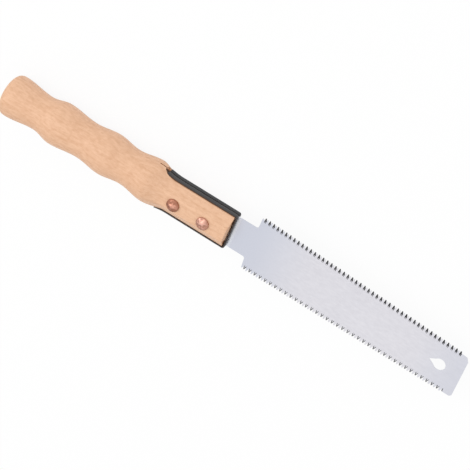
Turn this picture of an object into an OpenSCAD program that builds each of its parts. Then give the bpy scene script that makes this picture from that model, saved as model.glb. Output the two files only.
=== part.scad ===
// Flush cut saw: a turned wooden grip with a slit tongue, a thin blade toothed along both edges,
// two half bands round the tongue and two copper rivets made of a post and a socket each.
// Lengths are millimetres. X runs from the butt to the tip of the blade, Y lies across the blade
// with the finer teeth on the positive side, and Z is up. The saw lies on the ridges of its grip.

/* [Grip] */
// Length of the turned grip, from the butt to the foot of the tongue's flats
grip_length = 124; // [90:1:150]
// Radius of the rounded rim at the butt
rim_radius = 13.9; // [12:0.1:17]
// Radius in the hollow next to the butt
hollow_1_radius = 11.8; // [9:0.1:12.5]
// Radius of the ridge nearest the butt
ridge_1_radius = 14.2; // [12.6:0.1:17]
// Radius in the hollow in the middle of the grip
hollow_2_radius = 12.3; // [9:0.1:12.5]
// Radius of the middle ridge
ridge_2_radius = 14.1; // [12.6:0.1:17]
// Radius in the hollow behind the front ridge
hollow_3_radius = 12.2; // [9:0.1:12.5]
// Radius of the front ridge, the thickest place of the grip
ridge_3_radius = 14.4; // [12.6:0.1:17]
// Radius of the turning in front of the front ridge
neck_radius = 13; // [12.5:0.1:13.8]
// Place of the rim as a share of the grip's length
rim_share = 0.054; // [0.04:0.001:0.08]
// Place of the hollow next to the butt
hollow_1_share = 0.219; // [0.18:0.001:0.26]
// Place of the ridge nearest the butt
ridge_1_share = 0.322; // [0.3:0.001:0.38]
// Place of the middle hollow
hollow_2_share = 0.485; // [0.45:0.001:0.55]
// Place of the middle ridge
ridge_2_share = 0.617; // [0.6:0.001:0.68]
// Place of the hollow behind the front ridge
hollow_3_share = 0.742; // [0.72:0.001:0.8]
// Place of the front ridge
ridge_3_share = 0.876; // [0.86:0.001:0.94]
// How square the rounded butt is: 2 is an ellipse, more is squarer
butt_squareness = 2.9; // [2:0.1:5]

/* [Tongue] */
// Length of the flats, from their foot to the front end of the wood
tongue_length = 42; // [38:0.5:60]
// Distance by which the middle of the tongue lies off the grip's axis, towards the coarser teeth
tongue_drop = 0.6; // [0:0.05:0.8]
// Half thickness of the tongue between its two cheeks
cheek_half = 9.7; // [8:0.1:11]
// Half width of the tongue between the two band seats
seat_half = 11.78; // [10.5:0.02:12.4]
// Radius of the hollow in which a cheek runs out into the front ridge
run_out_radius = 22; // [12:0.5:30]
// Radius of the hollow in which a slanted flat runs out
slant_radius = 27; // [15:0.5:40]
// Distance by which the slanted flats begin to run out ahead of the cheeks
slant_ahead = 1.25; // [0.5:0.05:3]
// Depth by which a run-out hollow dips under its flat
run_out_dip = 0.1; // [0.05:0.01:0.3]
// Distance from the band's edge in to the corner where a slanted flat meets the seat
slant_inset = 0.4; // [0.1:0.05:1]
// Room beside the bands in their seat
seat_clear = 0.12; // [0.05:0.01:0.4]
// Length of the slit for the tang, from the front end of the wood
slit_length = 57; // [50:0.5:70]

/* [Bands] */
// Thickness of the band's sheet
band_sheet = 0.95; // [0.6:0.05:1.5]
// Half width of the pair of bands, measured from the middle of the blade
band_half = 3.2; // [2.4:0.1:4.5]
// Length of a band from its front to its rear end
band_length = 51; // [44:0.1:54]
// Length over which a band's rear end curves outward
flare_length = 8.7; // [5:0.1:10]
// Radius of that curve on the wood's side
flare_radius = 36; // [20:1:60]
// Outside radius of the band's front corners
band_corner = 1.5; // [1.2:0.1:3]
// Room between the front end of the wood and the band's front
front_gap = 0.6; // [0.2:0.05:1]

/* [Blade] */
// Length of the blade from its shoulders to its tip
blade_length = 150.3; // [120:0.1:200]
// Thickness of the blade
blade_thickness = 0.6; // [0.4:0.05:1]
// Height of the upper tooth line over the grip's axis, at the shoulders
upper_height = 20.38; // [16:0.02:26]
// Angle by which the upper tooth line falls towards the tip
upper_taper = 3.2; // [0:0.1:5]
// Depth of the lower tooth line under the grip's axis, at the shoulders
lower_height = 20.5; // [16:0.05:26]
// Angle by which the lower tooth line rises towards the tip
lower_taper = 0.07; // [0:0.01:3]
// Distance by which the upper end of the tip lies behind its lower end
tip_lean = 1.1; // [0:0.1:4]
// Length of the slanted cut at the tip's upper corner
upper_corner_length = 1.9; // [0.5:0.1:5]
// Height of the slanted cut at the tip's upper corner
upper_corner_height = 2.8; // [0.5:0.1:5]
// Drop of the tip's upper corner below the plain edge
upper_corner_drop = 0.2; // [0.1:0.05:2]
// Size of the small slanted cut at the tip's lower corner
lower_corner = 1.3; // [0.5:0.1:4]
// Distance by which the lower shoulder leans forward
shoulder_lean = 0.6; // [0.1:0.1:1]

/* [Teeth] */
// Pitch of the upper teeth, 17 to the inch
upper_pitch = 1.497; // [1:0.001:3]
// Height of the upper teeth
upper_tooth = 3.5; // [2:0.05:4]
// Place of the first gullet of the upper edge
upper_first = 1.18; // [0.5:0.02:6]
// Depth of the plain upper edges under the tips of the teeth
upper_drop = 1.3; // [0.5:0.05:2]
// Length of the plain upper edge at the tip
upper_plain = 6.4; // [5:0.1:20]
// Pitch of the lower teeth, nearly 14 to the inch
lower_pitch = 1.864; // [1:0.001:3]
// Height of the lower teeth
lower_tooth = 3.35; // [2:0.05:4]
// Place of the first gullet of the lower edge
lower_first = 1.42; // [0.5:0.02:6]
// Height of the plain lower edges above the tips of the teeth
lower_drop = 0.6; // [0.3:0.05:2]
// Length of the plain lower edge at the tip
lower_plain = 5.7; // [4:0.1:20]
// Distance by which a tooth leans towards the handle, from its foot to its tip
tooth_lean = 0.6; // [0:0.02:0.8]
// Width of the blunt end of a tooth
tooth_land = 0.6; // [0.1:0.05:0.8]
// Angle at which the tooth flanks are filed across the blade
fleam = 50; // [10:1:55]

/* [Tang] */
// Length of tang seen between the bands and the shoulders
tang_show = 13.7; // [8:0.1:20]
// Height of the tang's upper edge over the grip's axis
tang_upper = 11.07; // [8:0.02:11.4]
// Depth of the tang's lower edge under the grip's axis
tang_lower = 12.03; // [8:0.02:12.3]
// Length of tang inside the tongue
tang_hidden = 45; // [41:0.5:48]
// Radius of the hollow corners between tang and shoulders
tang_fillet = 1.5; // [0.5:0.1:3]

/* [Hang hole] */
// Radius of the round end of the drop-shaped hole
hole_radius = 4; // [2.5:0.1:5]
// Distance from the hole's round centre to the tip
hole_back = 15.4; // [10:0.1:25]
// Depth of the hole under the grip's axis
hole_drop = 3.85; // [0:0.05:6]
// Length from the hole's round centre to its point
hole_point = 7.3; // [6:0.1:9]

/* [Rivets] */
// Distance from the front end of the wood back to the front rivet
rivet_back = 15.3; // [10:0.1:18]
// Distance between the two rivets
rivet_spacing = 21.5; // [15:0.1:25]
// Radius of a rivet head
head_radius = 4.2; // [3.5:0.1:4.9]
// Height of a head's straight rim
head_rim = 0.9; // [0.3:0.05:1.2]
// Height of a head's dome over its rim
head_dome = 1.2; // [0.6:0.05:2]
// Outside radius of the socket's tube
tube_radius = 2.5; // [2.2:0.05:3]
// Radius of the post
post_radius = 1.9; // [1.2:0.05:2]
// Solid length at both ends of a rivet where the tube or the post stops short
rivet_stop = 3; // [1.5:0.1:5]

/* [Hidden] */
// Steps on each slope of the grip
slope_steps = 8;
// Steps round the butt
butt_steps = 14;
// Facets of round shapes
round_facets = 96;
// Length by which a cut passes a surface
overrun = 1;
// Height of the tooth cutter as a share of the tooth
cutter_share = 1.14;
// Steps on the curve of a band's rear end, on its corners and on the end of its groove
flare_steps = 10;
// Place of the groove's round end: share of the way at which the band's corners would touch it
groove_share = 0.5;
// Width of the hang hole's wedge as a share of its round end
wedge_share = 0.94;
// End of the turned neck as a share of the tongue
neck_share = 0.08;
// Places along X, counted from the blade's shoulders
wood_front = -tang_show - band_sheet - front_gap;
flat_foot = wood_front - tongue_length;
butt_end = flat_foot - grip_length;
slit_end = wood_front - slit_length;
band_rear = -tang_show - band_length;
tang_rear = wood_front - tang_hidden;
seat_foot = band_rear + flare_length;
// The groove for the bands is a little wider than they are, and its rear end is half a circle
seat_wide = band_half + seat_clear;
groove_end = band_rear + groove_share * sqrt(seat_wide * seat_wide - band_half * band_half);
rivet_places = [wood_front - rivet_back, wood_front - rivet_back - rivet_spacing];
hole_place = blade_length - hole_back;
// Flats at 45 degrees meet the seat a little inside the band's edge
slant_half = (seat_half + band_half - slant_inset) / sqrt(2);
half_blade = blade_thickness / 2;
// Shift that brings the middle of the saw's footprint to the origin
upper_tip = upper_height - (upper_first + upper_pitch / 2) * tan(upper_taper);
shift_x = -(butt_end + blade_length) / 2;
shift_y = -(upper_tip - lower_height) / 2;
rest_height = max(ridge_1_radius, ridge_2_radius, ridge_3_radius, rim_radius);
// Plain end points of the two tooth lines
upper_end = blade_length - upper_plain;
lower_end = blade_length - lower_plain;
upper_bend = blade_length - tip_lean - upper_corner_length;
upper_step = upper_first + tooth_lean / 2;
lower_step = lower_first + tooth_lean / 2;
upper_last = upper_step + floor((upper_end - upper_first) / upper_pitch) * upper_pitch;
lower_last = lower_step + floor((lower_end - lower_first) / lower_pitch) * lower_pitch;

// Points of the turned outline as pairs of place and radius, from the rim to the neck
stations = [
    [butt_end + rim_share * grip_length, rim_radius],
    [butt_end + hollow_1_share * grip_length, hollow_1_radius],
    [butt_end + ridge_1_share * grip_length, ridge_1_radius],
    [butt_end + hollow_2_share * grip_length, hollow_2_radius],
    [butt_end + ridge_2_share * grip_length, ridge_2_radius],
    [butt_end + hollow_3_share * grip_length, hollow_3_radius],
    [butt_end + ridge_3_share * grip_length, ridge_3_radius],
    [flat_foot + neck_share * tongue_length, neck_radius],
];

// Height of a tooth line at one place along X
function upper_line(x) = upper_height - x * tan(upper_taper);
function lower_line(x) = -lower_height + x * tan(lower_taper);

// A soft step from a to b: half a cosine wave
function ease(a, b, t) = a + (b - a) * (1 - cos(180 * t)) / 2;

// Outline of the turned wood, as pairs of radius and place
function butt_points() = [
    for (k = [0 : butt_steps])
        let (a = 90 * (1 - k / butt_steps), p = 2 / butt_squareness)
        [
            rim_radius * pow(max(cos(a), 0), p),
            stations[0][0] - rim_share * grip_length * pow(sin(a), p)
        ]
];
function slope_points() = [
    for (i = [0 : len(stations) - 2])
        for (k = [1 : slope_steps])
            let (t = k / slope_steps, a = stations[i], b = stations[i + 1])
            [ease(a[1], b[1], t), a[0] + (b[0] - a[0]) * t]
];

// Puts a piece drawn about the blade's shoulders into the shared frame
module placed() {
    translate([shift_x, shift_y, rest_height])
        children();
}

// The wood as it leaves the lathe
module turned_blank() {
    rotate([0, 90, 0])
        rotate_extrude($fn = round_facets)
            polygon(concat(
                butt_points(),
                slope_points(),
                [[neck_radius, wood_front], [0, wood_front]]
            ));
}

// One flat of the tongue: a box from the foot forward and the hollow in which it runs out
module flat_cut(turn, distance, foot, radius) {
    reach = 2 * rest_height;
    rotate([turn, 0, 0]) {
        translate([foot, -reach / 2, distance])
            cube([wood_front - foot + overrun, reach, reach]);
        translate([foot, 0, distance + radius - run_out_dip])
            rotate([90, 0, 0])
                cylinder(r = radius, h = reach, center = true, $fn = round_facets);
    }
}

// Seat of the bands on one side of the tongue: a floor that rises with the bands, and a groove
// with a round end that is cut down to this floor
module band_seat() {
    reach = 2 * rest_height;
    front = wood_front + overrun;
    intersection() {
        union() {
            translate([seat_foot, seat_half, -reach / 2])
                cube([front - seat_foot + overrun, reach, reach]);
            translate([seat_foot, seat_half + flare_radius - run_out_dip, 0])
                cylinder(r = flare_radius, h = reach, center = true, $fn = round_facets);
        }
        translate([0, reach, 0])
            rotate([90, 0, 0])
                linear_extrude(height = reach)
                    polygon(concat(
                        [[front, -seat_wide], [front, seat_wide]],
                        [
                            for (k = [0 : 2 * flare_steps])
                                let (a = 90 * (1 - k / flare_steps))
                                [groove_end - seat_wide * cos(a), seat_wide * sin(a)]
                        ]
                    ));
    }
}

// All cuts about the tongue's own axis: flats, band seats and rivet holes
module tongue_cuts() {
    for (turn = [0, 180])
        flat_cut(turn, cheek_half, flat_foot, run_out_radius);
    for (turn = [45 : 90 : 315])
        flat_cut(turn, slant_half, flat_foot + slant_ahead, slant_radius);
    for (side = [0, 1])
        mirror([0, side, 0])
            band_seat();
    for (x = rivet_places)
        translate([x, 0, 0])
            cylinder(r = tube_radius, h = 2 * (cheek_half + overrun), center = true, $fn = round_facets);
}

// Grip and tongue, one piece of wood
module handle() {
    color([0.86, 0.66, 0.46])
        placed()
            difference() {
                turned_blank();
                translate([0, -tongue_drop, 0])
                    tongue_cuts();
                translate([slit_end, -rest_height, -half_blade])
                    cube([slit_length + overrun, 2 * rest_height, blade_thickness]);
            }
}

// Outline of the blade and its tang before the teeth are cut. The raw sheet ends inside the first
// and the last gullet, so its steps vanish with them.
module blade_outline() {
    upper_corner = upper_line(upper_bend) - upper_drop - upper_corner_drop;
    lower_toe = lower_line(lower_last) + lower_drop;
    polygon([
        [tang_rear, tang_upper],
        [-tang_fillet, tang_upper],
        [0, tang_upper + tang_fillet],
        [0, upper_line(0) - upper_drop],
        [upper_step, upper_line(upper_step) - upper_drop],
        [upper_step, upper_line(upper_step)],
        [upper_last, upper_line(upper_last)],
        [upper_last, upper_line(upper_last) - upper_drop],
        [upper_bend, upper_corner],
        [blade_length - tip_lean, upper_corner - upper_corner_height],
        [blade_length, lower_toe + lower_corner],
        [blade_length - lower_corner, lower_toe],
        [lower_last, lower_toe],
        [lower_last, lower_line(lower_last)],
        [lower_step, lower_line(lower_step)],
        [lower_step, lower_line(lower_step) + lower_drop],
        [shoulder_lean, lower_line(shoulder_lean) + lower_drop],
        [0, -tang_lower - tang_fillet],
        [-tang_fillet, -tang_lower],
        [tang_rear, -tang_lower],
    ]);
}

// Cutter that hollows the corner between the tang and a shoulder
module corner_cut(height) {
    translate([-tang_fillet, height + tang_fillet, 0])
        cylinder(r = tang_fillet, h = blade_thickness + 2 * overrun, center = true, $fn = round_facets);
}

// The drop-shaped hole: a circle and a wedge whose sides run just inside the circle's tangents
module hang_hole() {
    lean = asin(hole_radius / hole_point);
    wedge = wedge_share * hole_radius;
    translate([hole_place, -hole_drop]) {
        circle(r = hole_radius, $fn = round_facets);
        polygon([
            [-hole_point, 0],
            [-wedge * sin(lean), -wedge * cos(lean)],
            [-wedge * sin(lean), wedge * cos(lean)],
        ]);
    }
}

// Every second gullet of one edge. The cutter is turned across the blade by the fleam angle,
// so it is drawn narrower by that angle's cosine.
module gullets(first, pitch, tooth, last, turn) {
    lean = ((pitch - tooth_land) / 2 + half_blade * tan(fleam)) / tooth;
    rise = tooth * cutter_share;
    squeeze = cos(fleam);
    count = floor((last - first) / (2 * pitch));
    middle = (first + last) / 2;
    places = [for (i = [0 : count]) (first + 2 * pitch * i - middle) * squeeze];
    half = rise * lean * squeeze;
    set = tooth_lean * squeeze;
    translate([middle, 0, 0])
        rotate([0, turn, 0])
            linear_extrude(height = (last - first) * sin(fleam) + 2 * overrun, center = true)
                polygon(concat(
                    [for (x = places) each [[x - half, rise], [x + set, 0], [x + half, rise]]],
                    [
                        [places[count] + half, rise + overrun],
                        [places[0] - half, rise + overrun],
                    ]
                ));
}

// All gullets of one edge, filed in turn to one face and to the other
module edge_teeth(first, pitch, tooth, last) {
    gullets(first, pitch, tooth, last, fleam);
    gullets(first + pitch, pitch, tooth, last, -fleam);
}

// Blade and tang, one sheet of steel
module blade() {
    color([0.78, 0.78, 0.82])
        placed()
            difference() {
                linear_extrude(height = blade_thickness, center = true)
                    blade_outline();
                linear_extrude(height = blade_thickness + 2 * overrun, center = true)
                    hang_hole();
                for (x = rivet_places)
                    translate([x, -tongue_drop, 0])
                        cylinder(
                            r = tube_radius,
                            h = blade_thickness + 2 * overrun,
                            center = true,
                            $fn = round_facets
                        );
                for (side = [0, 1])
                    mirror([0, side, 0])
                        corner_cut(side == 0 ? tang_upper : tang_lower);
                translate([0, upper_height, 0])
                    rotate([0, 0, -upper_taper])
                        translate([0, -upper_tooth, 0])
                            edge_teeth(upper_first, upper_pitch, upper_tooth, upper_end);
                mirror([0, 1, 0])
                    translate([0, lower_height, 0])
                        rotate([0, 0, -lower_taper])
                            translate([0, -lower_tooth, 0])
                                edge_teeth(lower_first, lower_pitch, lower_tooth, lower_end);
            }
}

// Points along one face of a band's leg: the rear end curves outward in the run-out of its seat.
// The outer side is nearer to the curve's centre.
function leg_points(sheet) = [
    for (k = [0 : flare_steps])
        let (a = asin(flare_length / flare_radius) * (1 - k / flare_steps))
        [
            seat_foot - (flare_radius - sheet) * sin(a),
            seat_half + flare_radius - (flare_radius - sheet) * cos(a)
        ]
];
// Round front corner of the band, about a centre set back from the front and the leg
function corner_points(front, side, radius) = [
    for (k = [0 : flare_steps])
        let (a = 90 * (1 - k / flare_steps))
        [front + radius * (cos(a) - 1), side + radius * (sin(a) - 1)]
];
// The same points on the other leg, in the opposite order
function other_leg(points) = [
    for (k = [1 : len(points)])
        [points[len(points) - k][0], -points[len(points) - k][1]]
];

// Outline of one band from the side: a front and two legs
module band_outline() {
    outer = concat(
        leg_points(band_sheet),
        corner_points(-tang_show, seat_half + band_sheet, band_corner)
    );
    inner = concat(
        leg_points(0),
        corner_points(-tang_show - band_sheet, seat_half, front_gap)
    );
    lower = [for (p = inner) [p[0], -p[1]]];
    polygon(concat(outer, other_leg(outer), lower, other_leg(lower)));
}

// A half band beside the blade, on the near or the far face
module half_band(side) {
    color([0.16, 0.15, 0.16])
        placed()
            mirror([0, 0, side])
                translate([0, -tongue_drop, half_blade])
                    linear_extrude(height = band_half - half_blade)
                        band_outline();
}

module band_near() {
    half_band(0);
}

module band_far() {
    half_band(1);
}

// Domed head that stands on a cheek
module rivet_head() {
    ball = (head_radius * head_radius + head_dome * head_dome) / (2 * head_dome);
    translate([0, 0, cheek_half])
        cylinder(r = head_radius, h = head_rim, $fn = round_facets);
    intersection() {
        translate([0, 0, cheek_half + head_rim + head_dome - ball])
            sphere(r = ball, $fn = round_facets);
        translate([0, 0, cheek_half + head_rim])
            cylinder(r = head_radius, h = head_dome + overrun, $fn = round_facets);
    }
}

// Post of a rivet: head on the near cheek and a pin that reaches down into the socket
module rivet_post(x) {
    color([0.76, 0.45, 0.34])
        placed()
            translate([x, -tongue_drop, 0]) {
                rivet_head();
                translate([0, 0, rivet_stop - cheek_half])
                    cylinder(r = post_radius, h = 2 * cheek_half - rivet_stop, $fn = round_facets);
            }
}

// Socket of a rivet: head on the far cheek and a tube that takes the post
module rivet_socket(x) {
    color([0.76, 0.45, 0.34])
        placed()
            translate([x, -tongue_drop, 0]) {
                mirror([0, 0, 1])
                    rivet_head();
                difference() {
                    translate([0, 0, -cheek_half])
                        cylinder(r = tube_radius, h = 2 * cheek_half - rivet_stop, $fn = round_facets);
                    translate([0, 0, rivet_stop - cheek_half])
                        cylinder(r = post_radius, h = 2 * cheek_half, $fn = round_facets);
                }
            }
}

module front_post() {
    rivet_post(rivet_places[0]);
}

module front_socket() {
    rivet_socket(rivet_places[0]);
}

module rear_post() {
    rivet_post(rivet_places[1]);
}

module rear_socket() {
    rivet_socket(rivet_places[1]);
}

handle();
blade();
band_near();
band_far();
front_post();
front_socket();
rear_post();
rear_socket();
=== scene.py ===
# %% [markdown]
# # A flush cut saw, built up in steps
#
# This saw trims pegs and plugs level with a surface. It has a turned wooden grip that ends in a slit
# tongue, a thin blade toothed along both edges, two black half bands round the tongue and two copper rivets.
#
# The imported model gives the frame: X from the butt to the tip of the blade, Y across the blade, Z up.
# Every piece below is made in that frame and stays at the origin. Lengths are written in millimetres
# counted from the blade's shoulders, and one function turns them into metres in the frame.

import math

import bmesh
import bpy
import numpy as np
from mathutils import Matrix, Vector


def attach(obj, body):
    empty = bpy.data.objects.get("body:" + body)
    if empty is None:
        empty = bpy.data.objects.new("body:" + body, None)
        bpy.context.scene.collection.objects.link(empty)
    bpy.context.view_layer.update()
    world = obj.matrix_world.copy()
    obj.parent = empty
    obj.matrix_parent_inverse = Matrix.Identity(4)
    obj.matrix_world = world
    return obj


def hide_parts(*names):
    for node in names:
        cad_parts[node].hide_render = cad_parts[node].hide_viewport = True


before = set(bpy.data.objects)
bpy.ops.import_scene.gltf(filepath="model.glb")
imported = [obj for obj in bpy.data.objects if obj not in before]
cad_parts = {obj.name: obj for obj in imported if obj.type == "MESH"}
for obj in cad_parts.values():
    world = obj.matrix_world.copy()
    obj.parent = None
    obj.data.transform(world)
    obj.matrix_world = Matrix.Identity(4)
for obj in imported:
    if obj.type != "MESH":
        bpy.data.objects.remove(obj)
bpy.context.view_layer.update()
print("nodes:", sorted(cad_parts))

# %% [markdown]
# ## Sizes
#
# These are the sizes of the solids. They could be measured on the loaded meshes, but named values are
# easier to read and to change. The places along X follow from the front backwards: shoulders at 0, then
# the bare tang, the bands' front, the tongue with its flats, and the turned grip that ends at the butt.

# %% Sizes in millimetres
TANG_SHOW, SHEET, FRONT_GAP = 13.7, 0.95, 0.6
TONGUE, GRIP, BLADE = 42.0, 124.0, 150.3
UPPER_TIP, LOWER_TIP, AXIS_HEIGHT = 20.2722, 20.5, 14.4
WOOD_FRONT = -TANG_SHOW - SHEET - FRONT_GAP
FLAT_FOOT = WOOD_FRONT - TONGUE
BUTT = FLAT_FOOT - GRIP
SHIFT = np.array([-(BUTT + BLADE) / 2, (LOWER_TIP - UPPER_TIP) / 2, AXIS_HEIGHT])


def to_frame(points):
    """Points in millimetres about the shoulders become metres in the frame: add the shift, divide by 1000."""
    return (np.asarray(points, float) + SHIFT) / 1000.0


print("butt at", round(BUTT, 2), "mm, wood front at", WOOD_FRONT, "mm")

# %% [markdown]
# ## From a grid of points to a mesh
#
# Wood, bands and rivets are all closed surfaces round a line. Blender could spin or sweep curves for
# them, but an array of rows and columns of points puts every edge just where the solid has it. Each cell
# of the grid becomes one four-sided face. The columns close into a ring. A fan of triangles about a middle
# closes each end, apart from the wood's front, which is one flat face. Columns may meet, so points in the
# same place are merged, and then all faces are turned outwards.

# %% Closed shells
MERGE = 1e-7


def closed_shell(mesh):
    """Points nearer than the merging distance, in metres, become one, and all faces turn outwards."""
    shell = bmesh.new()
    shell.from_mesh(mesh)
    bmesh.ops.remove_doubles(shell, verts=shell.verts, dist=MERGE)
    bmesh.ops.recalc_face_normals(shell, faces=shell.faces)
    shell.to_mesh(mesh)
    shell.free()


# %% Grid to mesh
def grid_mesh(name, points, start, end=None, sharp=38.0, mark=None):
    """Cell (i, j) joins points (i, j), (i, j+1), (i+1, j+1), (i+1, j), with j counted round the ring.

    An array "mark" of one value per point is stored on the mesh for the shaders."""
    rows, cols, _ = points.shape
    index = np.arange(rows * cols).reshape(rows, cols)
    after = np.roll(index, -1, axis=1)
    quads = np.stack([index[:-1], after[:-1], after[1:], index[1:]], axis=-1).reshape(-1, 4)
    middle = np.full(cols, rows * cols)
    verts = [points.reshape(-1, 3), np.reshape(start, (1, 3))]
    faces = quads.tolist() + np.stack([middle, after[0], index[0]], axis=-1).tolist()
    if end is None:
        faces.append(index[-1].tolist())
    else:
        verts.append(np.reshape(end, (1, 3)))
        faces += np.stack([middle + 1, index[-1], after[-1]], axis=-1).tolist()
    mesh = bpy.data.meshes.new(name)
    mesh.from_pydata(to_frame(np.concatenate(verts)).tolist(), [], faces)
    if mark is not None:
        values = np.zeros(len(mesh.vertices), np.float32)
        values[:mark.size] = mark.ravel()
        mesh.attributes.new("mark", "FLOAT", "POINT").data.foreach_set("value", values)
    closed_shell(mesh)
    mesh.polygons.foreach_set("use_smooth", np.ones(len(mesh.polygons), dtype=bool))
    mesh.set_sharp_from_angle(angle=math.radians(sharp))
    mesh.update()
    piece = bpy.data.objects.new(name, mesh)
    bpy.context.scene.collection.objects.link(piece)
    print(name, len(mesh.vertices), "points,", len(mesh.polygons), "faces")
    return piece


# %% Place in the frame
def into_frame(piece, node):
    """The piece rides the one body and stands for its CAD node, which is hidden."""
    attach(piece, "root")
    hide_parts(node)
    return piece


# %% [markdown]
# ## The turned grip
#
# The real grip comes off a lathe, with three ridges for the fingers and a rounded butt. A Screw modifier
# on a curve could make it, but the tongue is cut from the same wood, so one grid of rings takes both. The
# outline is a chain of soft steps between hollows and ridges. A soft step is half a cosine wave. The butt
# is a squared ellipse: cosine and sine raised to a power below one.

# %% Outline of the turning
STATIONS = np.array([
    [0.054, 13.9], [0.219, 11.8], [0.322, 14.2], [0.485, 12.3],
    [0.617, 14.1], [0.742, 12.2], [0.876, 14.4],
])
NECK_SHARE, NECK_RADIUS = 0.08, 13.0
STATION_X = np.append(BUTT + STATIONS[:, 0] * GRIP, FLAT_FOOT + NECK_SHARE * TONGUE)
STATION_R = np.append(STATIONS[:, 1], NECK_RADIUS)
BUTT_SQUARENESS = 2.9


def turned(x):
    """Radius at x: from one station to the next it follows (1 - cos(pi t)) / 2."""
    i = np.clip(np.searchsorted(STATION_X, x) - 1, 0, len(STATION_X) - 2)
    t = np.clip((x - STATION_X[i]) / (STATION_X[i + 1] - STATION_X[i]), 0.0, 1.0)
    return STATION_R[i] + (STATION_R[i + 1] - STATION_R[i]) * (1 - np.cos(np.pi * t)) / 2


print(len(STATION_X), "stations from", round(STATION_X[0], 2), "to", round(STATION_X[-1], 2), "mm")

# %% [markdown]
# The rows of the grid stand close together where the wood changes quickly: at its front, and round the
# rear end of the seat that the bands lie in. Even rows would need many more points for the same edges.
# Pairs of rows less than a hundredth of a millimetre apart make the upright ends of seat and slit.

# %% Rear ends of seat and slit
BAND, BAND_LENGTH, SEAT_CLEAR, GROOVE_SHARE, SLIT_LENGTH = 3.2, 51.0, 0.12, 0.5, 57.0
BAND_REAR = -TANG_SHOW - BAND_LENGTH
GROOVE = BAND + SEAT_CLEAR
GROOVE_END = BAND_REAR + GROOVE_SHARE * math.sqrt(GROOVE**2 - BAND**2)
SLIT_END = WOOD_FRONT - SLIT_LENGTH
print("seat ends at", round(GROOVE_END - GROOVE, 2), "mm, slit at", round(SLIT_END, 2), "mm")

# %% Rows along the wood
FINE_FROM, FINE_TO = -74.0, -56.0
COARSE_STEP, FINE_STEP = 0.75, 0.28
FRONT_EASE, TINY = 0.5, 0.004

turn = np.radians(np.linspace(89.0, 2.0, 26))
power = 2 / BUTT_SQUARENESS
butt_x = STATION_X[0] - (STATION_X[0] - BUTT) * np.sin(turn) ** power
butt_r = STATION_R[0] * np.cos(turn) ** power
rows_x = np.unique(np.concatenate([
    np.arange(STATION_X[0], FINE_FROM, COARSE_STEP),
    np.arange(FINE_FROM, FINE_TO, FINE_STEP),
    np.linspace(FINE_TO, WOOD_FRONT - FRONT_EASE, 22),
    [SLIT_END - TINY, SLIT_END + TINY, GROOVE_END - GROOVE - TINY],
    GROOVE_END + TINY - GROOVE * np.cos(np.radians(np.linspace(0, 90, 16))),
    WOOD_FRONT - FRONT_EASE * (1 - np.sin(np.radians([22, 45, 68, 90]))),
]))
all_x = np.concatenate([butt_x, rows_x])
all_r = np.concatenate([butt_r, turned(rows_x)])
print(len(all_x), "rows, thickest radius", round(float(all_r.max()), 2), "mm")

# %% [markdown]
# ## The tongue
#
# On the real saw six flats are cut into the front of the turning: two cheeks and four slants. Behind its
# foot each flat runs out in a wide hollow. Boolean cuts could do this, but they often leave long thin
# faces that shade badly. Here the radius of each ring is worked out instead. Seen from the axis a flat at
# distance d allows the radius d / cos(angle), and the smallest radius of all wins. A soft minimum rounds
# the edges like fine sanding. The tongue's own middle lies a little off the grip's axis, which moves each
# flat by the drop's part along its normal.

# %% Flats and their run-outs
CHEEK, CHEEK_RUN, RUN_DIP, TONGUE_DROP = 9.7, 22.0, 0.1, 0.6
SEAT, FLARE, FLARE_LENGTH = 11.78, 36.0, 8.7
SLANT_RUN, SLANT_INSET, SLANT_AHEAD, FAR = 27.0, 0.4, 1.25, 99.0
SANDED_FROM, SANDED_TO, SANDED_WIDE, SANDED_FINE = -70.0, -57.0, 3.2, 0.7
SLANT = (SEAT + BAND - SLANT_INSET) / math.sqrt(2)
SLANT_FOOT = FLAT_FOOT + SLANT_AHEAD
SEAT_FOOT = BAND_REAR + FLARE_LENGTH


def flat_distance(x, distance, foot, radius):
    """Distance of a flat from the axis; behind the foot a circle lifts it by R - sqrt(R^2 - run^2)."""
    run = np.clip(foot - x, 0.0, radius)
    lift = radius - RUN_DIP - np.sqrt(radius**2 - run**2)
    behind = np.where(foot - x >= radius, FAR, distance + np.maximum(lift, 0.0))
    return np.where(x < foot, behind, distance)


def soft_min(a, b, width):
    """Smaller of two values, less a quarter of the width times the square of how near they are."""
    near = np.maximum(width - np.abs(a - b), 0.0) / width
    return np.minimum(a, b) - near**2 * width / 4


cheek = flat_distance(all_x, CHEEK, FLAT_FOOT, CHEEK_RUN)
slant = flat_distance(all_x, SLANT, SLANT_FOOT, SLANT_RUN)
floor_rise = flat_distance(all_x, SEAT, SEAT_FOOT, FLARE)
seat = np.where(all_x > GROOVE_END - GROOVE, floor_rise, FAR)
from_front = (1 - (WOOD_FRONT - all_x) / FRONT_EASE).clip(0, 1)
edge_round = FRONT_EASE * (1 - np.sqrt(np.clip(1 - from_front**2, 0, 1)))
sanding = np.interp(all_x, [SANDED_FROM, SANDED_TO], [SANDED_WIDE, SANDED_FINE])[:, None]
print("cheeks at", CHEEK, "mm, slants at", round(SLANT, 2), "mm, seats at", SEAT, "mm")

# %% Radius round a ring
CRISP, LEAST_SHARE = 0.4, 0.15


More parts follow.
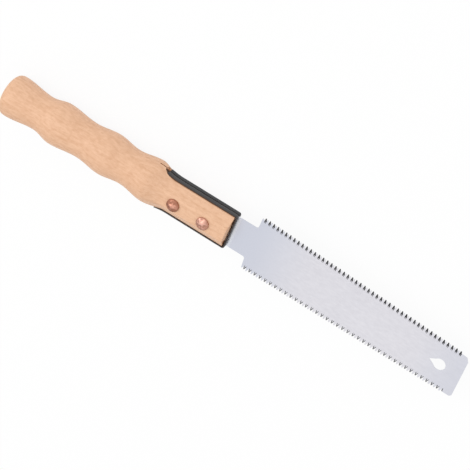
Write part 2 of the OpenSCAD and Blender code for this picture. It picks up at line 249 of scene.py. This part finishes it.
def side_radius(angle):
    """Radius at an angle counted from +Y towards +Z.

    It is the soft minimum of the turning and of each flat's distance / cos(angle from its middle).
    Edges stay crisp within 20 degrees of Y and take the full sanding from 45 degrees on."""
    r = np.broadcast_to(all_r[:, None], angle.shape)
    from_y = 90 - np.abs(90 - np.degrees(angle))
    width = CRISP + (sanding - CRISP) * np.clip((from_y - 20) / 25, 0, 1)
    for middle, distance in ((45, slant), (90, cheek), (135, slant)):
        share = np.cos(angle - math.radians(middle))
        away = distance[:, None] - TONGUE_DROP * math.cos(math.radians(middle))
        flat = np.where(share > LEAST_SHARE, away / np.maximum(share, LEAST_SHARE), FAR)
        r = soft_min(r, flat, width)
    return r - edge_round[:, None]


# %% [markdown]
# Between the sides lie two sectors, above and below, with the seat of the bands and the slit for the
# tang. There the columns follow fixed heights z, so that the walls of seat and slit stand upright. The
# seat is a groove whose floor rises with the bands. Its rear end is half a circle seen from above, so
# the sector grows narrow there and stays nearly as narrow as the slit from there to the butt.

# %% Columns of a sector
HALF_BLADE, NARROW_SQUARED, RAMP_RADIUS = 0.3, 0.2, 9.0

ramp = np.minimum(1.0, all_r / RAMP_RADIUS)
past_end = np.maximum(GROOVE_END - all_x, 0.0)
wide = np.sqrt(np.maximum(GROOVE**2 - past_end**2, NARROW_SQUARED)) * ramp
slit = HALF_BLADE * ramp
slit_here = all_x > SLIT_END
share = np.array([1, 1, 0.66, 0.33, 0, 0, 0, 0, -0.33, -0.66, -1, -1.0])
kerf = np.repeat([1.0, -1.0], 6)
sector_z = (wide - slit)[:, None] * share + slit[:, None] * kerf
low = np.array([0, 1, 1, 1, 1, 1, 1, 1, 1, 1, 1, 0], bool)
deep = np.array([0, 0, 0, 0, 0, 1, 1, 0, 0, 0, 0, 0], bool)
# Painted shade: the first row below darkens the slit and its edges, the second darkens the groove and fades
# to its lit side.
slit_shade = np.array([0, 0, 0.2, 0.4, 0.5, 0.5, 0.5, 0.5, 0.4, 0.2, 0, 0])
shade = np.array([1, 1, 1, 1, 1, 1, 1, 1, 0.8, 0.3, 0, 0])
print("sector from", round(float(wide.min()), 2), "to", round(float(wide.max()), 2), "mm to each side")

# %% Heights of a sector
SLIT_SHOWN = 3.0


def outer_y(z, side):
    """Outer surface at a given z on side +1 or -1: y = sqrt(r^2 - z^2), r taken at the angle of (y, z)."""
    y = np.sqrt(np.maximum(all_r[:, None] ** 2 - z**2, 0.0))
    for _ in range(8):
        r = side_radius(np.arctan2(np.abs(z), side * y))
        y = np.sqrt(np.maximum(r**2 - z**2, 1e-9))
    return y


def sector(side):
    """Heights over the axis on one side: the outer surface, cut down to the seat, less the slit's depth.

    The second array is painted shade: 1 in the groove, fading to its lit side, and one half in the slit."""
    y = outer_y(sector_z, side)
    floor_y = (seat - side * TONGUE_DROP - edge_round)[:, None]
    in_groove, in_slit = low & (floor_y < y), slit_here[:, None] & deep
    y = np.where(in_groove, floor_y, y)
    # Painted shade in the groove and in the slit, kept as the mark.
    dark = np.maximum(in_groove * shade, slit_here[:, None] * slit_shade)
    return np.where(in_slit, y - SLIT_SHOWN, y), dark


# %% One ring after another
(top, top_dark), (bottom, bottom_dark) = sector(1), sector(-1)
bottom = -bottom
start = np.arctan2(sector_z[:, 0], top[:, 0])
stop = np.arctan2(sector_z[:, 0], bottom[:, 0])
steps = np.linspace(0.0, 1.0, 92)[1:-1]
side_angle = start[:, None] + (stop - start)[:, None] * steps
side_r = side_radius(side_angle)
side_y, side_z = side_r * np.cos(side_angle), side_r * np.sin(side_angle)
ring_y = np.concatenate([top[:, ::-1], side_y, bottom, side_y[:, ::-1]], axis=1)
ring_z = np.concatenate([sector_z[:, ::-1], side_z, sector_z, -side_z[:, ::-1]], axis=1)
ring_x = np.broadcast_to(all_x[:, None], ring_y.shape)
wood_points = np.stack([ring_x, ring_y, ring_z], axis=-1)
clear = np.zeros(side_y.shape)
dark = np.concatenate([top_dark[:, ::-1], clear, bottom_dark, clear], axis=1)
handle = grid_mesh("wood_handle", wood_points, [BUTT, 0, 0], mark=dark)
into_frame(handle, "handle")

# %% [markdown]
# ## The half bands
#
# Each half band is a narrow strip of black sheet that lies on one face of the blade. It runs along the
# tongue, round its front and back again. A curve with a bevel profile could make it, but a strip that is
# worked out has its bends and rear ends exactly where the solid has them. Its path is a polygon with
# rounded corners whose rear ends curve outward with their seat, and a small rectangle with eased edges is
# carried along it.

# %% Path and section
def rounded_path(corners, radii, steps_round=9):
    """Each corner is replaced by an arc that touches both sides at radius / tan(half angle)."""
    corners = np.asarray(corners, float)
    path = [corners[:1]]
    for k in range(1, len(corners) - 1):
        a, b = corners[k - 1] - corners[k], corners[k + 1] - corners[k]
        a, b = a / np.linalg.norm(a), b / np.linalg.norm(b)
        half_angle = math.acos(np.clip(a @ b, -1, 1)) / 2
        inward = (a + b) / np.linalg.norm(a + b)
        middle = corners[k] + inward * radii[k - 1] / math.sin(half_angle)
        around = np.linspace(-1, 1, steps_round) * (math.pi / 2 - half_angle)
        side = (b - a) / np.linalg.norm(b - a)
        arc = np.sin(around)[:, None] * side - np.cos(around)[:, None] * inward
        path.append(middle + radii[k - 1] * arc)
    path.append(corners[-1:])
    return np.concatenate(path)


def strip_section(thick, low_z, high_z, ease=0.14, arc=4):
    """Rectangle of thickness and height with quarter circles at its four corners."""
    turn = np.radians(np.linspace(0, 90, arc))
    middle = (low_z + high_z) / 2
    u, v = thick / 2 - ease, (high_z - low_z) / 2 - ease
    quarter = np.stack([np.cos(turn), np.sin(turn)], axis=-1) * ease
    back = quarter[::-1]
    corners = [quarter + [u, v], back * [-1, 1] + [-u, v], -quarter - [u, v], back * [1, -1] + [u, -v]]
    return np.concatenate(corners) + [0, middle]


def sweep(name, path, section):
    """Point = path + section's first value along the path's normal + its second value along Z."""
    along = np.gradient(path, axis=0)
    along /= np.linalg.norm(along, axis=1, keepdims=True)
    normal = np.stack([along[:, 1], -along[:, 0]], axis=-1)
    xy = path[:, None, :] + normal[:, None, :] * section[None, :, :1]
    z = np.broadcast_to(section[None, :, 1:], xy[..., :1].shape)
    points = np.concatenate([xy, z], axis=-1)
    return grid_mesh(name, points, points[0].mean(axis=0), points[-1].mean(axis=0), 30.0)


# %% Both half bands
CORNER = 1.025

half = SHEET / 2
mid = SEAT + half
web = -TANG_SHOW - half
turn = np.linspace(math.asin(FLARE_LENGTH / FLARE), 0.0, 12)[:-1]
flare_x = SEAT_FOOT - (FLARE - half) * np.sin(turn)
flare_y = SEAT + FLARE - (FLARE - half) * np.cos(turn)
flare = np.stack([flare_x, flare_y], axis=-1)
front = rounded_path([[SEAT_FOOT, mid], [web, mid], [web, -mid], [SEAT_FOOT, -mid]], [CORNER, CORNER])
path = np.concatenate([flare, front, flare[::-1] * [1, -1]]) - [0, TONGUE_DROP]
bands = []
for side, node in ((1, "band_near"), (-1, "band_far")):
    low_z, high_z = sorted((side * HALF_BLADE, side * BAND))
    band = sweep("strip_" + node, path, strip_section(SHEET, low_z, high_z))
    bands.append(into_frame(band, node))

# %% [markdown]
# ## The rivets
#
# Two copper rivets hold wood and tang together, each a post in a socket, and both heads were set with a
# hammer. The dents could be sculpted, but a formula keeps them small and alike. A head is a low dome over
# a short rim, turned about its axis and then dented: each blow lowers the dome by a small amount that
# fades like exp(-d^2 / w) with the distance d from the blow. The blows keep clear of the very middle.

# %% Dented heads
HEAD, RIM, DOME = 4.2, 0.9, 1.2
WIDE_BLOWS, SHARP_BLOWS, DEEPEST, DENT_DARK = 8, 6, 0.5, 2.2
DOME_SHARE, RIM_IN, RIM_DOWN, FOOT_IN, FOOT_UP = 0.985, 0.07, 0.08, 0.04, 0.06


def rivet(name, x, side, shank, length, seed, polish):
    """Rows of the profile run from the dome's top over the rim and down the shank to its end.

    The dome is the cap of a ball: it rises by sqrt(ball^2 - r^2) - (ball - dome). The mark is wear and
    painted light: the polish less the square of r / head, which paints a pale middle and a dark rim for
    the dome's reflections, less the dents, darkened as patina and as painted shade in the hollows."""
    dome = DOME_SHARE * np.linspace(0.03, 1.0, 22)
    ball = (HEAD**2 + DOME**2) / (2 * DOME)
    rise = np.sqrt(ball**2 - (HEAD * dome) ** 2) - (ball - DOME)
    rim = np.radians(np.linspace(15, 90, 5))
    foot_r, foot_h = [HEAD, HEAD - FOOT_IN, shank, shank], [FOOT_UP, 0.0, 0.0, -length]
    radius = np.concatenate([HEAD * dome, HEAD - RIM_IN * (1 - np.sin(rim)), foot_r])
    height = CHEEK + np.concatenate([RIM + rise, RIM - RIM_DOWN * (1 - np.cos(rim)), foot_h])
    turn = np.linspace(0, 2 * np.pi, 72, endpoint=False)
    px, py = radius[:, None] * np.cos(turn), radius[:, None] * np.sin(turn)
    rng = np.random.default_rng(seed)
    count = WIDE_BLOWS + SHARP_BLOWS
    spot = HEAD * np.sqrt(rng.uniform(0.09, 0.75, count))
    where = rng.uniform(0, 2 * np.pi, count)
    far = (px[..., None] - spot * np.cos(where)) ** 2 + (py[..., None] - spot * np.sin(where)) ** 2
    wide = np.append(rng.uniform(0.7, 1.9, WIDE_BLOWS), rng.uniform(0.3, 0.5, SHARP_BLOWS))
    dent = (rng.uniform(0.10, 0.24, count) * np.exp(-far / wide)).sum(axis=-1)
    on_top = (height > CHEEK + RIM - 0.1)[:, None]
    pz = height[:, None] - np.where(on_top, np.minimum(dent, DEEPEST), 0.0)
    points = np.stack([px + x, py * side - TONGUE_DROP, pz * side], axis=-1)
    top, foot = points[0].mean(axis=0), [x, -TONGUE_DROP, side * (CHEEK - length)]
    # Painted light: the pale middle and dark rim stand for the dome's reflections; the dents darken as patina
    # and painted shade.
    wear_and_painted_light = np.clip(polish - (radius[:, None] / HEAD) ** 2 - DENT_DARK * dent, 0, 1)
    return grid_mesh(name, points, top, foot, 32.0, wear_and_painted_light)


# %% Both rivets
POST, TUBE, SHANK = 1.9, 2.5, 16.4
RIVET_BACK, RIVET_SPACING = 15.3, 21.5
RIVETS = {"front": WOOD_FRONT - RIVET_BACK, "rear": WOOD_FRONT - RIVET_BACK - RIVET_SPACING}

rivets = []
for place, seed, polish in (("front", 3, 1.2), ("rear", 8, 1.0)):
    post = rivet(f"{place}_rivet_post", RIVETS[place], 1, POST, SHANK, seed, polish)
    rivets.append(into_frame(post, f"{place}_post"))
    socket = rivet(f"{place}_rivet_socket", RIVETS[place], -1, TUBE, SHANK, seed + 2, polish)
    rivets.append(into_frame(socket, f"{place}_socket"))

# %% [markdown]
# ## Small helpers for shaders
#
# The finishes are built from nodes in code, so that every value can be read here. A node group is a
# function for shaders: sockets go in, colours and values come out. The helpers below add nodes with their
# values and link them by name.

# %% Nodes and sums
def add(tree, kind, links=(), **values):
    """One node; values set its sockets or properties by name, links join (from socket, input name)."""
    node = tree.nodes.new(kind)
    for key, value in values.items():
        if key in node.bl_rna.properties:
            setattr(node, key, value)
        else:
            node.inputs[key.replace("_", " ")].default_value = value
    for source, name in links:
        tree.links.new(source, node.inputs[name])
    return node


def math_node(tree, operation, a, b=None, clamp=False):
    """One operation on a and b, which are sockets or numbers."""
    node = tree.nodes.new("ShaderNodeMath")
    node.operation, node.use_clamp = operation, clamp
    for k, value in enumerate((a, b)):
        if value is None:
            continue
        if isinstance(value, (int, float)):
            node.inputs[k].default_value = value
        else:
            tree.links.new(value, node.inputs[k])
    return node.outputs[0]


def weighted(tree, layers, base=0.0):
    """Base plus the sum of all values, each multiplied by its weight."""
    total = base
    for value, weight in layers:
        total = math_node(tree, "ADD", total, math_node(tree, "MULTIPLY", value, weight))
    return total


def axes(tree, vector):
    """The three values of a vector, by the names X, Y and Z."""
    return add(tree, "ShaderNodeSeparateXYZ", [(vector, 0)]).outputs


# %% Patterns and mixtures
def stretched(tree, vector, scale):
    """Coordinates multiplied by a scale for each axis."""
    node = tree.nodes.new("ShaderNodeVectorMath")
    node.operation = "MULTIPLY"
    node.inputs[1].default_value = scale
    tree.links.new(vector, node.inputs[0])
    return node.outputs[0]


def noise(tree, vector, detail=3.0, rough=0.55):
    """Soft random values from 0 to 1, with a mean near one half."""
    node = add(tree, "ShaderNodeTexNoise", [(vector, "Vector")], Scale=1.0, Detail=detail, Roughness=rough)
    return node.outputs["Fac"]


def ranged(tree, value, a, b, c=0.0, d=1.0):
    """Value mapped from a..b to c..d with a smooth step."""
    node = tree.nodes.new("ShaderNodeMapRange")
    node.interpolation_type = "SMOOTHSTEP"
    for name, number in (("From Min", a), ("From Max", b), ("To Min", c), ("To Max", d)):
        node.inputs[name].default_value = number
    tree.links.new(value, node.inputs["Value"])
    return node.outputs["Result"]


def mixed(tree, factor, a, b):
    """Colour a for the factor 0 and b for 1; each is a socket or a colour."""
    node = tree.nodes.new("ShaderNodeMix")
    node.data_type = "RGBA"
    tree.links.new(factor, node.inputs[0])
    for k, colour in ((6, a), (7, b)):
        if isinstance(colour, tuple):
            node.inputs[k].default_value = (*colour, 1.0)
        else:
            tree.links.new(colour, node.inputs[k])
    return node.outputs[2]


# %% Groups and materials
def group(name, inputs, outputs):
    """A new node group with named sockets: (name, socket type, default)."""
    tree = bpy.data.node_groups.new(name, "ShaderNodeTree")
    for label, kind, value in inputs:
        socket = tree.interface.new_socket(label, in_out="INPUT", socket_type=kind)
        if value is not None:
            socket.default_value = value
    for label, kind in outputs:
        tree.interface.new_socket(label, in_out="OUTPUT", socket_type=kind)
    return tree, tree.nodes.new("NodeGroupInput"), tree.nodes.new("NodeGroupOutput")


def use(tree, made, place, **values):
    """The group placed in a material, with its vector linked and its own values."""
    node = tree.nodes.new("ShaderNodeGroup")
    node.node_tree = made
    for key, value in values.items():
        node.inputs[key].default_value = value
    tree.links.new(place, node.inputs["Vector"])
    return node.outputs


def material(name):
    """A new material with its node tree, its shader and the object's own coordinates."""
    made = bpy.data.materials.new(name)
    made.use_nodes = True
    tree = made.node_tree
    place = tree.nodes.new("ShaderNodeTexCoord").outputs["Object"]
    return made, tree, tree.nodes["Principled BSDF"], place


def rippled(tree, shader, height, strength, distance):
    """A bump of the given height in the shader's normal."""
    bump = add(tree, "ShaderNodeBump", [(height, "Height")], Strength=strength, Distance=distance)
    tree.links.new(bump.outputs["Normal"], shader.inputs["Normal"])


# %% [markdown]
# ## Wood
#
# The grip is a pale close-grained wood under a thin clear finish. A picture of wood could be wrapped
# round it, but a pattern worked out in space runs through the piece as real grain does, also over the
# flats. Growth rings are circles about a far axis, bent by slow noise. Streaks run along the grain, a
# finer mottling breaks them up, and short dark flecks are noise stretched along X and cut off at a level.
# The tongue is a little paler than the grip, and brown painted shade darkens the seat behind the bands
# and the slit.

# %% Node group for grain
VALUE, COLOUR, VECTOR = "NodeSocketFloat", "NodeSocketColor", "NodeSocketVector"
grain, grain_in, grain_out = group(
    "wood_grain",
    [
        ("Vector", VECTOR, None), ("Light", COLOUR, (0.775, 0.482, 0.312, 1)),
        ("Dark", COLOUR, (0.585, 0.315, 0.175, 1)), ("Flecks", VALUE, 0.25),
    ],
    [("Color", COLOUR), ("Height", VALUE), ("Roughness", VALUE)],
)
FLECK_COLOUR = (0.40, 0.20, 0.11)
point = grain_in.outputs["Vector"]
parts = axes(grain, point)
from_axis = [math_node(grain, "ADD", parts[name], far) for name, far in (("Y", 0.031), ("Z", 0.052))]
squares = weighted(grain, [(math_node(grain, "MULTIPLY", r, r), 1.0) for r in from_axis])
bend = noise(grain, stretched(grain, point, (14, 60, 60)), 2.0)
ring = weighted(grain, [(math_node(grain, "SQRT", squares), 330.0), (bend, 3.2)])
ring = math_node(grain, "FRACT", ring)
ring = math_node(grain, "MULTIPLY", ranged(grain, ring, 0.25, 0.86), ranged(grain, ring, 1.0, 0.9))
streak = noise(grain, stretched(grain, point, (22, 900, 900)), 4.0, 0.6)
fleck = noise(grain, stretched(grain, point, (150, 2600, 2600)), 2.0, 0.5)
fleck = math_node(grain, "MULTIPLY", ranged(grain, fleck, 0.62, 0.74), grain_in.outputs["Flecks"])
cloud = noise(grain, stretched(grain, point, (25, 70, 70)), 2.0)
mottle = noise(grain, stretched(grain, point, (260, 620, 620)), 3.0, 0.65)
wave = noise(grain, stretched(grain, point, (8, 160, 160)), 1.0)
pale = ranged(grain, parts["X"], -0.050, -0.036)
layers = [(ring, 0.09), (streak, 0.80), (mottle, 1.50), (wave, 0.16), (cloud, 0.05), (pale, -0.12)]
amount = math_node(grain, "SUBTRACT", weighted(grain, layers), 1.05, clamp=True)
body = mixed(grain, amount, grain_in.outputs["Light"], grain_in.outputs["Dark"])
grain.links.new(mixed(grain, fleck, body, FLECK_COLOUR), grain_out.inputs["Color"])
grain.links.new(weighted(grain, [(streak, 0.6), (fleck, -1.0)]), grain_out.inputs["Height"])
grain.links.new(weighted(grain, [(streak, 0.16)], 0.38), grain_out.inputs["Roughness"])
print("grain nodes:", len(grain.nodes))

# %% Wood material
# Browns of the painted shade in the slit and in the pocket of the seat.
SLIT_SHADE_BROWN, POCKET_SHADE_BROWN = (0.36, 0.14, 0.05), (0.10, 0.048, 0.022)

wood, tree, shader, place = material("beech_like_wood")
made = use(tree, grain, place)
mark = add(tree, "ShaderNodeAttribute", attribute_name="mark").outputs["Fac"]
# The mark paints shade: warm brown up to one half, dark brown above.
with_painted_shade = mixed(tree, ranged(tree, mark, 0.0, 0.5), made["Color"], SLIT_SHADE_BROWN)
with_painted_shade = mixed(tree, ranged(tree, mark, 0.5, 1.0), with_painted_shade, POCKET_SHADE_BROWN)
tree.links.new(with_painted_shade, shader.inputs["Base Color"])
tree.links.new(made["Roughness"], shader.inputs["Roughness"])
rippled(tree, shader, made["Height"], 0.18, 0.00012)
shader.inputs["Specular IOR Level"].default_value = 0.35
handle.data.materials.append(wood)
print("wood nodes:", len(tree.nodes))

# %% [markdown]
# ## Steel
#
# The blade is a rolled sheet with a satin face. It keeps the imported solid, because its teeth are exact
# there, and gets only a finish. Anisotropic shading could give the sheen, but thin lines of noise along X
# show the marks of rolling as well. The filed flanks of the teeth lean away from the face, so the normal's
# Z value tells them apart. Their colour is darker than the sheet's: partly bare filed steel, partly painted
# dark reflection. The tang next to the band's web is painted lighter, as painted light against the shade
# there.

# %% Node group for brushed metal
brush, brush_in, brush_out = group(
    "brushed_lines",
    [("Vector", VECTOR, None), ("Along", VALUE, 40.0), ("Across", VALUE, 2600.0)],
    [("Lines", VALUE), ("Smudge", VALUE), ("Height", VALUE)],
)
along, across, point = brush_in.outputs["Along"], brush_in.outputs["Across"], brush_in.outputs["Vector"]
scale = add(brush, "ShaderNodeCombineXYZ", [(along, "X"), (across, "Y"), (across, "Z")])
fine = add(brush, "ShaderNodeVectorMath", [(point, 0), (scale.outputs[0], 1)], operation="MULTIPLY")
lines = noise(brush, fine.outputs[0], 3.0, 0.6)
smudge = noise(brush, stretched(brush, point, (38, 55, 55)), 4.0, 0.6)
for name, value in (("Lines", lines), ("Smudge", smudge), ("Height", lines)):
    brush.links.new(value, brush_out.inputs[name])
print("brush nodes:", len(brush.nodes))

# %% Steel material
SHEET_LIGHT, SHEET_DARK = (0.855, 0.845, 0.885), (0.625, 0.615, 0.665)
COOL_STEEL, PAINTED_LIGHT_STEEL, FILED_STEEL_AND_SHADE = (0.625, 0.645, 0.725), (0.93, 0.94, 0.98), (0.21, 0.21, 0.22)

steel, tree, shader, place = material("satin_steel")
made = use(tree, brush, place)
normal = tree.nodes.new("ShaderNodeNewGeometry").outputs["True Normal"]
upright = math_node(tree, "ABSOLUTE", axes(tree, normal)["Z"])
filed = math_node(tree, "MULTIPLY", ranged(tree, upright, 0.97, 0.90), ranged(tree, upright, 0.2, 0.4))
mottle = noise(tree, stretched(tree, place, (260, 560, 560)), 2.0)
tone = weighted(tree, [(mottle, 0.5), (made["Lines"], 0.3), (made["Smudge"], 0.2)])
sheet = mixed(tree, tone, SHEET_LIGHT, SHEET_DARK)
x = axes(tree, place)["X"]
cool = math_node(tree, "MAXIMUM", ranged(tree, x, 0.060, 0.012), ranged(tree, x, 0.125, 0.165, 0.0, 0.55))
sheet = mixed(tree, cool, sheet, COOL_STEEL)
# Painted light: the tang beside the band's web is lightened against the shade and dark reflection there.
sheet = mixed(tree, ranged(tree, x, 0.0048, 0.0016, 0.0, 0.8), sheet, PAINTED_LIGHT_STEEL)
# The flanks' colour is partly bare filed steel, partly painted dark reflection.
tree.links.new(mixed(tree, filed, sheet, FILED_STEEL_AND_SHADE), shader.inputs["Base Color"])
rough = weighted(tree, [(made["Smudge"], 0.16), (filed, -0.08)], 0.26)
tree.links.new(rough, shader.inputs["Roughness"])
rippled(tree, shader, made["Height"], 0.06, 0.00005)
shader.inputs["Metallic"].default_value = 1.0
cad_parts["blade"].material_slots[0].material = steel
print("steel nodes:", len(tree.nodes))

# %% [markdown]
# ## Black bands
#
# The bands carry a black oxide coat with a little wear on it. One plain black would look flat, so the
# brushed lines of the blade are used again, coarser than there. The half beyond the blade is a little
# cooler, and the cut edges that face up are browner than the broad sides.

# %% Black material
COAT_DARK, COAT_WORN = (0.020, 0.019, 0.020), (0.046, 0.044, 0.046)
COAT_FAR, COAT_EDGE = (0.018, 0.019, 0.021), (0.040, 0.024, 0.018)

black, tree, shader, place = material("black_oxide")
made = use(tree, brush, place, Along=90.0, Across=700.0)
coat = mixed(tree, made["Smudge"], COAT_DARK, COAT_WORN)
coat = mixed(tree, ranged(tree, axes(tree, place)["Z"], 0.0150, 0.0138), coat, COAT_FAR)
normal = tree.nodes.new("ShaderNodeNewGeometry").outputs["True Normal"]
coat = mixed(tree, ranged(tree, axes(tree, normal)["Z"], 0.75, 0.95), coat, COAT_EDGE)
tree.links.new(coat, shader.inputs["Base Color"])
tree.links.new(ranged(tree, made["Lines"], 0.2, 0.8, 0.36, 0.54), shader.inputs["Roughness"])
rippled(tree, shader, made["Height"], 0.08, 0.00005)
for band in bands:
    band.data.materials.append(black)
print("black nodes:", len(tree.nodes), "on", len(bands), "bands")

# %% [markdown]
# ## Copper
#
# The rivet heads are bare copper, bright where they were rubbed. Their pale middle and brown rim are
# painted light for the dome's reflections, and the brown in the dents is partly patina and partly painted
# shade. An ambient occlusion node could look for hollows, but the formula of the dents knows them already,
# so each head carries its own mark of wear and painted light. The front rivet is brighter than the rear one.

# %% Copper material
REAR_BRIGHT, FRONT_BRIGHT = (0.80, 0.41, 0.30), (0.85, 0.49, 0.39)
REAR_DARK, FRONT_DARK = (0.42, 0.185, 0.12), (0.53, 0.27, 0.195)

copper, tree, shader, place = material("hammered_copper")
patch = noise(tree, stretched(tree, place, (420, 420, 420)))
wear_and_painted_light = add(tree, "ShaderNodeAttribute", attribute_name="mark").outputs["Fac"]
# The mark is wear and painted light: a pale middle, a dark rim and darker dents.
dull = weighted(tree, [(patch, 1.0), (wear_and_painted_light, -0.55)], 0.25)
forward = ranged(tree, axes(tree, place)["X"], -0.030, -0.022)
bright = mixed(tree, forward, REAR_BRIGHT, FRONT_BRIGHT)
brown = mixed(tree, forward, REAR_DARK, FRONT_DARK)
tree.links.new(mixed(tree, ranged(tree, dull, 0.15, 0.75), bright, brown), shader.inputs["Base Color"])
tree.links.new(ranged(tree, dull, 0.1, 0.75, 0.30, 0.46), shader.inputs["Roughness"])
shader.inputs["Metallic"].default_value = 1.0
for piece in rivets:
    piece.data.materials.append(copper)
print("copper nodes:", len(tree.nodes), "on", len(rivets), "rivet parts")

# %% [markdown]
# ## Floor, light and camera
#
# The floor is a wide pale sheet. To the camera and in reflections it glows a little towards white and
# still takes the shadow. Stronger lamps would whiten it too, but they would bleach the wood as well.

# %% Floor
FLOOR_HALF, WHITENED = 6.0, 0.92

corners = [(-FLOOR_HALF, -FLOOR_HALF, 0), (FLOOR_HALF, -FLOOR_HALF, 0)]
corners += [(FLOOR_HALF, FLOOR_HALF, 0), (-FLOOR_HALF, FLOOR_HALF, 0)]
floor_mesh = bpy.data.meshes.new("floor")
floor_mesh.from_pydata(corners, [], [(0, 1, 2, 3)])
floor = bpy.data.objects.new("floor", floor_mesh)
bpy.context.scene.collection.objects.link(floor)
paper, tree, shader, _ = material("white_paper")
shader.inputs["Base Color"].default_value = (0.86, 0.86, 0.86, 1)
shader.inputs["Roughness"].default_value = 0.9
shader.inputs["Specular IOR Level"].default_value = 0.1
glow = add(tree, "ShaderNodeEmission", Color=(1, 1, 1, 1), Strength=1.0)
rays = tree.nodes.new("ShaderNodeLightPath").outputs
seen = math_node(tree, "ADD", rays["Is Camera Ray"], rays["Is Glossy Ray"], clamp=True)
seen = math_node(tree, "ADD", seen, rays["Is Transmission Ray"], clamp=True)
mix = add(tree, "ShaderNodeMixShader", [(math_node(tree, "MULTIPLY", seen, WHITENED), 0)])
tree.links.new(shader.outputs[0], mix.inputs[1])
tree.links.new(glow.outputs[0], mix.inputs[2])
tree.links.new(mix.outputs[0], tree.nodes["Material Output"].inputs["Surface"])
floor.data.materials.append(paper)
print("floor", 2 * FLOOR_HALF, "m wide")

# %% [markdown]
# The light on the real saw is soft and comes from nearly everywhere. A ring of lamps could give it, but a
# bright sky needs less: it is nearly even for soft light, a little brighter towards +Y, and dim near the
# horizon in reflections, which gives the metal its contrast. One large disk adds a soft direction.

# %% Sky
world = bpy.context.scene.world or bpy.data.worlds.new("studio")
bpy.context.scene.world = world
world.use_nodes = True
tree = world.node_tree
back = tree.nodes["Background"]
ray = axes(tree, tree.nodes.new("ShaderNodeTexCoord").outputs["Generated"])
mirrored = tree.nodes.new("ShaderNodeLightPath").outputs["Is Glossy Ray"]
even = weighted(tree, [(ranged(tree, ray["Z"], 0.0, 0.5, 0.8, 1.0), 1.0), (ray["Y"], 0.12)])
dim = ranged(tree, ray["Z"], 0.05, 0.62, 0.12, 1.0)
tree.links.new(mixed(tree, mirrored, even, dim), back.inputs["Color"])
back.inputs["Strength"].default_value = 1.0
print("sky nodes:", len(tree.nodes))

# %% Softbox
SPOT, DISK, WATTS = (-0.75, 0.25, 0.95), 0.9, 3.0

softbox_data = bpy.data.lights.new("softbox_left", "AREA")
softbox_data.shape, softbox_data.size, softbox_data.energy = "DISK", DISK, WATTS
softbox = bpy.data.objects.new("softbox_left", softbox_data)
softbox.location = SPOT
softbox.rotation_euler = Vector(SPOT).to_track_quat("Z", "Y").to_euler()
bpy.context.scene.collection.objects.link(softbox)
print("softbox", round(Vector(SPOT).length, 2), "m from the middle")

# %% [markdown]
# The camera was fitted to the outline of the saw in the picture. It could be aimed at the middle by hand,
# but a fitted one shows the same edges in the same places. Its place is in millimetres about the
# shoulders, its three axes are unit vectors, and the focal length of its lens came from the same fit.

# %% Camera
SENSOR, LENS, EYE = 36.0, 150.63, (190.9, 674.8, 966.8)
RIGHT, UP, BACKWARD = (0.8385, 0.3483, -0.4192), (-0.5181, 0.7478, -0.4152), (0.1689, 0.5652, 0.8075)

camera_data = bpy.data.cameras.new("camera")
camera_data.sensor_width, camera_data.lens = SENSOR, LENS
camera_data.clip_end = 50.0
camera = bpy.data.objects.new("camera", camera_data)
bpy.context.scene.collection.objects.link(camera)
turned_to = Matrix((RIGHT, UP, BACKWARD)).transposed().to_4x4()
camera.matrix_world = Matrix.Translation(to_frame(EYE).tolist()) @ turned_to
bpy.context.scene.camera = camera
bpy.context.scene.view_settings.view_transform = "Standard"
print("field of view", round(math.degrees(camera_data.angle), 1), "degrees")
